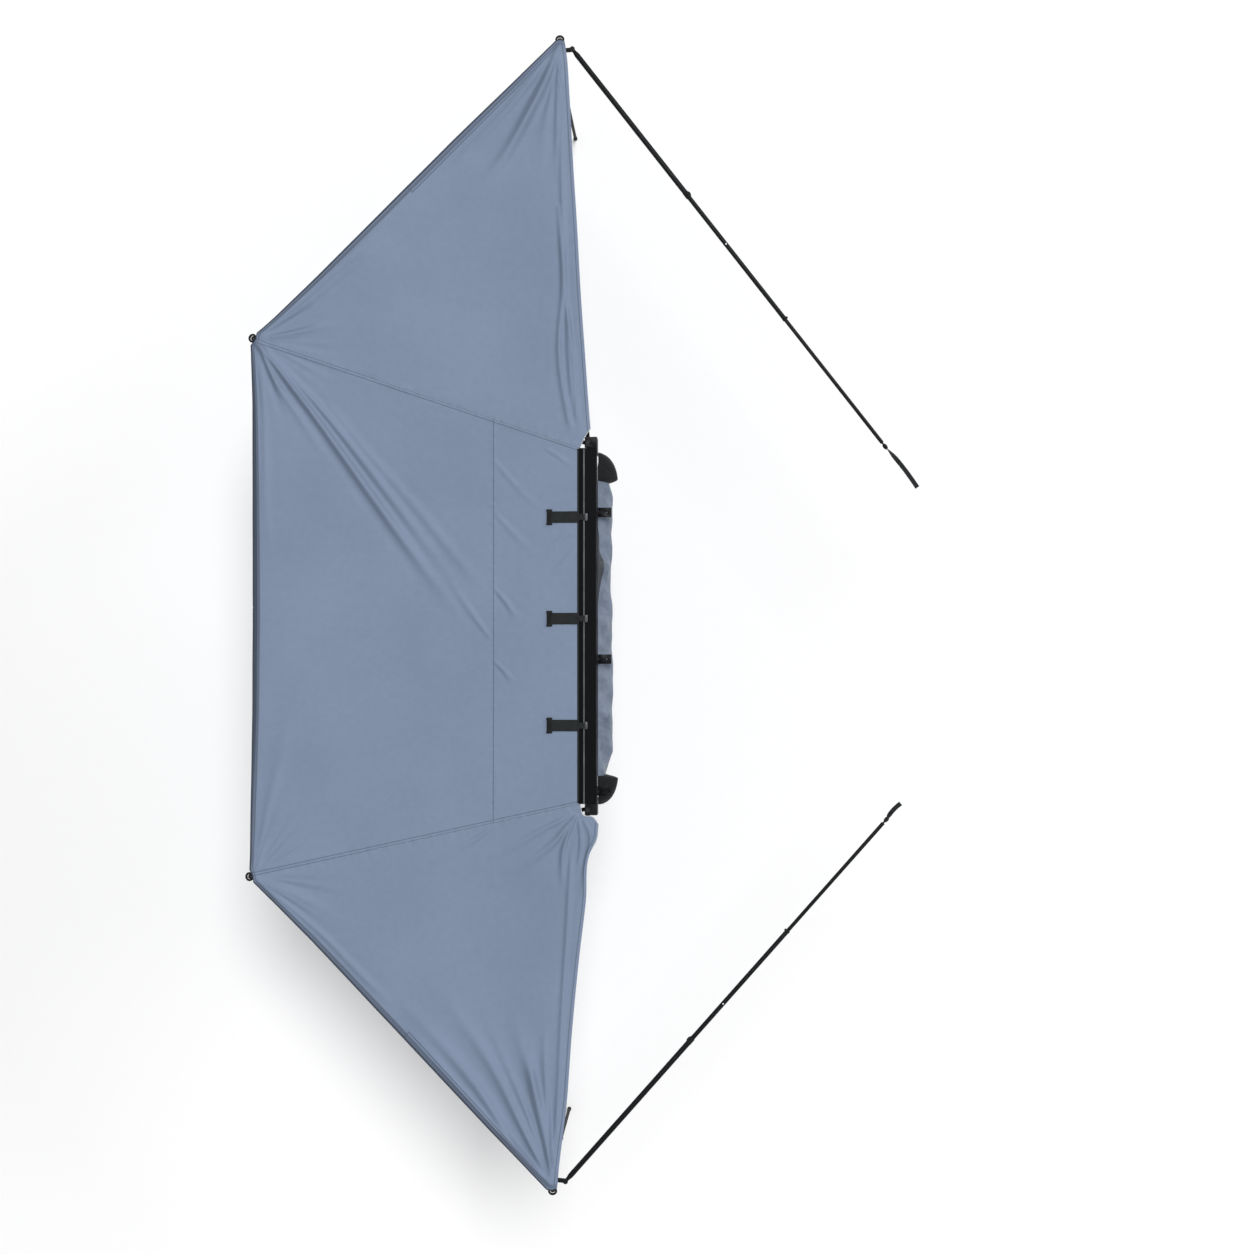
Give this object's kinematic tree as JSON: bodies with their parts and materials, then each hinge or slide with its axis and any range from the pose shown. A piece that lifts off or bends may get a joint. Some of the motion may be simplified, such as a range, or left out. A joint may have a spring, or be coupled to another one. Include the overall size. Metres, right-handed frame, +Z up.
{
  "type": "vehicle side awning",
  "caption": "Half-round side awning for a roof rack, with folding arms, telescopic drop legs and stays under a pieced cloth canopy.",
  "frame": {"origin": "on the upper face of the middle rack bracket's shelf, 30 mm from the case's back and in the middle of its width, where the middle crossbar rests", "axes": "+X from the awning towards the vehicle, +Y towards the vehicle's front, +Z up"},
  "size_m": [3.5231, 6.0489, 1.8603],
  "materials": {
    "black_paint": "satin black powder coat on steel and aluminium",
    "dark_aluminium": "dark anodised aluminium",
    "steel": "zinc plated steel",
    "black_plastic": "moulded glass filled nylon",
    "rubber": "moulded rubber",
    "canopy_cloth": "coated woven polyester, grey blue",
    "grey_cloth": "coated grey cloth",
    "black_cloth": "black coated cloth",
    "webbing": "woven black webbing"
  },
  "bodies": {
    "case": {"case_extrusion": "dark_aluminium", "hub_bracket_front": "black_paint", "hub_bracket_rear": "black_paint", "pivot_bolt_front": "steel", "pivot_bolt_rear": "steel", "rack_bracket_front": "black_paint", "rack_bracket_middle": "black_paint", "rack_bracket_rear": "black_paint", "rack_bolt_front": "steel", "rack_bolt_middle": "steel", "rack_bolt_rear": "steel", "storage_cover": "grey_cloth", "cover_end_front": "black_cloth", "cover_end_rear": "black_cloth", "tie_strap_front": "webbing", "tie_strap_middle": "webbing", "tie_strap_rear": "webbing", "strap_keeper_front": "black_plastic", "strap_keeper_middle": "black_plastic", "strap_keeper_rear": "black_plastic", "canopy_centre_front": "canopy_cloth", "canopy_centre_rear": "canopy_cloth"},
    "front_main_arm": {"front_main_knuckle": "black_paint", "front_main_tube": "black_paint", "front_main_tip": "black_plastic", "canopy_front_wing": "canopy_cloth"},
    "rear_main_arm": {"rear_main_knuckle": "black_paint", "rear_main_tube": "black_paint", "rear_main_tip": "black_plastic", "canopy_rear_wing": "canopy_cloth"},
    "front_wing_arm": {"front_wing_knuckle": "black_paint", "front_wing_tube": "black_paint"},
    "rear_wing_arm": {"rear_wing_knuckle": "black_paint", "rear_wing_tube": "black_paint"},
    "front_wing_end": {"front_wing_extension": "dark_aluminium", "front_wing_tip": "black_plastic"},
    "rear_wing_end": {"rear_wing_extension": "dark_aluminium", "rear_wing_tip": "black_plastic"},
    "front_wing_leg": {"front_wing_leg_upper": "black_paint"},
    "front_wing_leg_foot": {"front_wing_leg_lower": "dark_aluminium", "front_wing_leg_foot": "rubber"},
    "front_main_leg": {"front_main_leg_upper": "black_paint"},
    "front_main_leg_foot": {"front_main_leg_lower": "dark_aluminium", "front_main_leg_foot": "rubber"},
    "rear_main_leg": {"rear_main_leg_upper": "black_paint"},
    "rear_main_leg_foot": {"rear_main_leg_lower": "dark_aluminium", "rear_main_leg_foot": "rubber"},
    "rear_wing_leg": {"rear_wing_leg_upper": "black_paint"},
    "rear_wing_leg_foot": {"rear_wing_leg_lower": "dark_aluminium", "rear_wing_leg_foot": "rubber"},
    "front_stay": {"front_stay_outer": "black_paint"},
    "front_stay_mid": {"front_stay_middle": "black_paint"},
    "front_stay_end": {"front_stay_inner": "dark_aluminium", "front_stay_eye": "black_plastic", "front_stay_strap": "webbing"},
    "rear_stay": {"rear_stay_outer": "black_paint"},
    "rear_stay_mid": {"rear_stay_middle": "black_paint"},
    "rear_stay_end": {"rear_stay_inner": "dark_aluminium", "rear_stay_eye": "black_plastic", "rear_stay_strap": "webbing"}
  },
  "joints": [
    {"name": "front_main_fold", "type": "hinge", "parent": "case", "child": "front_main_arm", "pos_m": [-0.073, 1.134, 0.03], "axis": [0, 0, 1], "range_deg": [0, 107.5], "deforming": ["canopy_centre_front"]},
    {"name": "front_wing_fold", "type": "hinge", "parent": "front_main_arm", "child": "front_wing_arm", "pos_m": [-0.073, 1.134, 0.03], "axis": [0, 0, 1], "range_deg": [0, 68.4], "deforming": ["canopy_front_wing"]},
    {"name": "front_wing_extension_slide", "type": "slide", "parent": "front_wing_arm", "child": "front_wing_end", "axis": [0.0698, -0.9976, 0], "range_m": [0, 0.285]},
    {"name": "rear_main_fold", "type": "hinge", "parent": "case", "child": "rear_main_arm", "pos_m": [-0.073, -0.786, 0.03], "axis": [0, 0, -1], "range_deg": [0, 101.2], "deforming": ["canopy_centre_rear"]},
    {"name": "rear_wing_fold", "type": "hinge", "parent": "rear_main_arm", "child": "rear_wing_arm", "pos_m": [-0.073, -0.786, 0.03], "axis": [0, 0, -1], "range_deg": [0, 73.4], "deforming": ["canopy_rear_wing"]},
    {"name": "rear_wing_extension_slide", "type": "slide", "parent": "rear_wing_arm", "child": "rear_wing_end", "axis": [0.0941, 0.9956, 0], "range_m": [0, 0.163]},
    {"name": "front_wing_leg_swing", "type": "hinge", "parent": "front_wing_end", "child": "front_wing_leg", "pos_m": [-0.2409, 3.20533, 0.078], "axis": [-0.9976, -0.0698, 0], "range_deg": [0, 90]},
    {"name": "front_wing_leg_slide", "type": "slide", "parent": "front_wing_leg", "child": "front_wing_leg_foot", "axis": [0, 0, 1], "range_m": [0, 0.793]},
    {"name": "front_main_leg_swing", "type": "hinge", "parent": "front_main_arm", "child": "front_main_leg", "pos_m": [-1.81098, 1.66452, 0.014], "axis": [-0.304, -0.9527, 0], "range_deg": [0, 90]},
    {"name": "front_main_leg_slide", "type": "slide", "parent": "front_main_leg", "child": "front_main_leg_foot", "axis": [0, 0, 1], "range_m": [0, 0.729]},
    {"name": "rear_main_leg_swing", "type": "hinge", "parent": "rear_main_arm", "child": "rear_main_leg", "pos_m": [-1.82047, -1.11489, -0.018], "axis": [0.1977, -0.9803, 0], "range_deg": [0, 90]},
    {"name": "rear_main_leg_slide", "type": "slide", "parent": "rear_main_leg", "child": "rear_main_leg_foot", "axis": [0, 0, 1], "range_m": [0, 0.697]},
    {"name": "rear_wing_leg_swing", "type": "hinge", "parent": "rear_wing_end", "child": "rear_wing_leg", "pos_m": [-0.27856, -2.71622, 0.046], "axis": [0.9956, -0.0941, 0], "range_deg": [0, 90]},
    {"name": "rear_wing_leg_slide", "type": "slide", "parent": "rear_wing_leg", "child": "rear_wing_leg_foot", "axis": [0, 0, 1], "range_m": [0, 0.761]},
    {"name": "front_stay_swing", "type": "hinge", "parent": "front_wing_end", "child": "front_stay", "pos_m": [-0.1561, 3.21126, 0.078], "axis": [0, 0, -1], "range_deg": [0, 33.85]},
    {"name": "front_stay_middle_slide", "type": "slide", "parent": "front_stay", "child": "front_stay_mid", "axis": [-0.6136, 0.7896, 0], "range_m": [0, 0.8045]},
    {"name": "front_stay_inner_slide", "type": "slide", "parent": "front_stay_mid", "child": "front_stay_end", "axis": [-0.6136, 0.7896, 0], "range_m": [0, 0.795]},
    {"name": "rear_stay_swing", "type": "hinge", "parent": "rear_wing_end", "child": "rear_stay", "pos_m": [-0.19394, -2.72422, 0.046], "axis": [0, 0, 1], "range_deg": [0, 36.2]},
    {"name": "rear_stay_middle_slide", "type": "slide", "parent": "rear_stay", "child": "rear_stay_mid", "axis": [-0.6639, -0.7478, 0], "range_m": [0, 0.734]},
    {"name": "rear_stay_inner_slide", "type": "slide", "parent": "rear_stay_mid", "child": "rear_stay_end", "axis": [-0.6639, -0.7478, 0], "range_m": [0, 0.7245]}
  ]
}
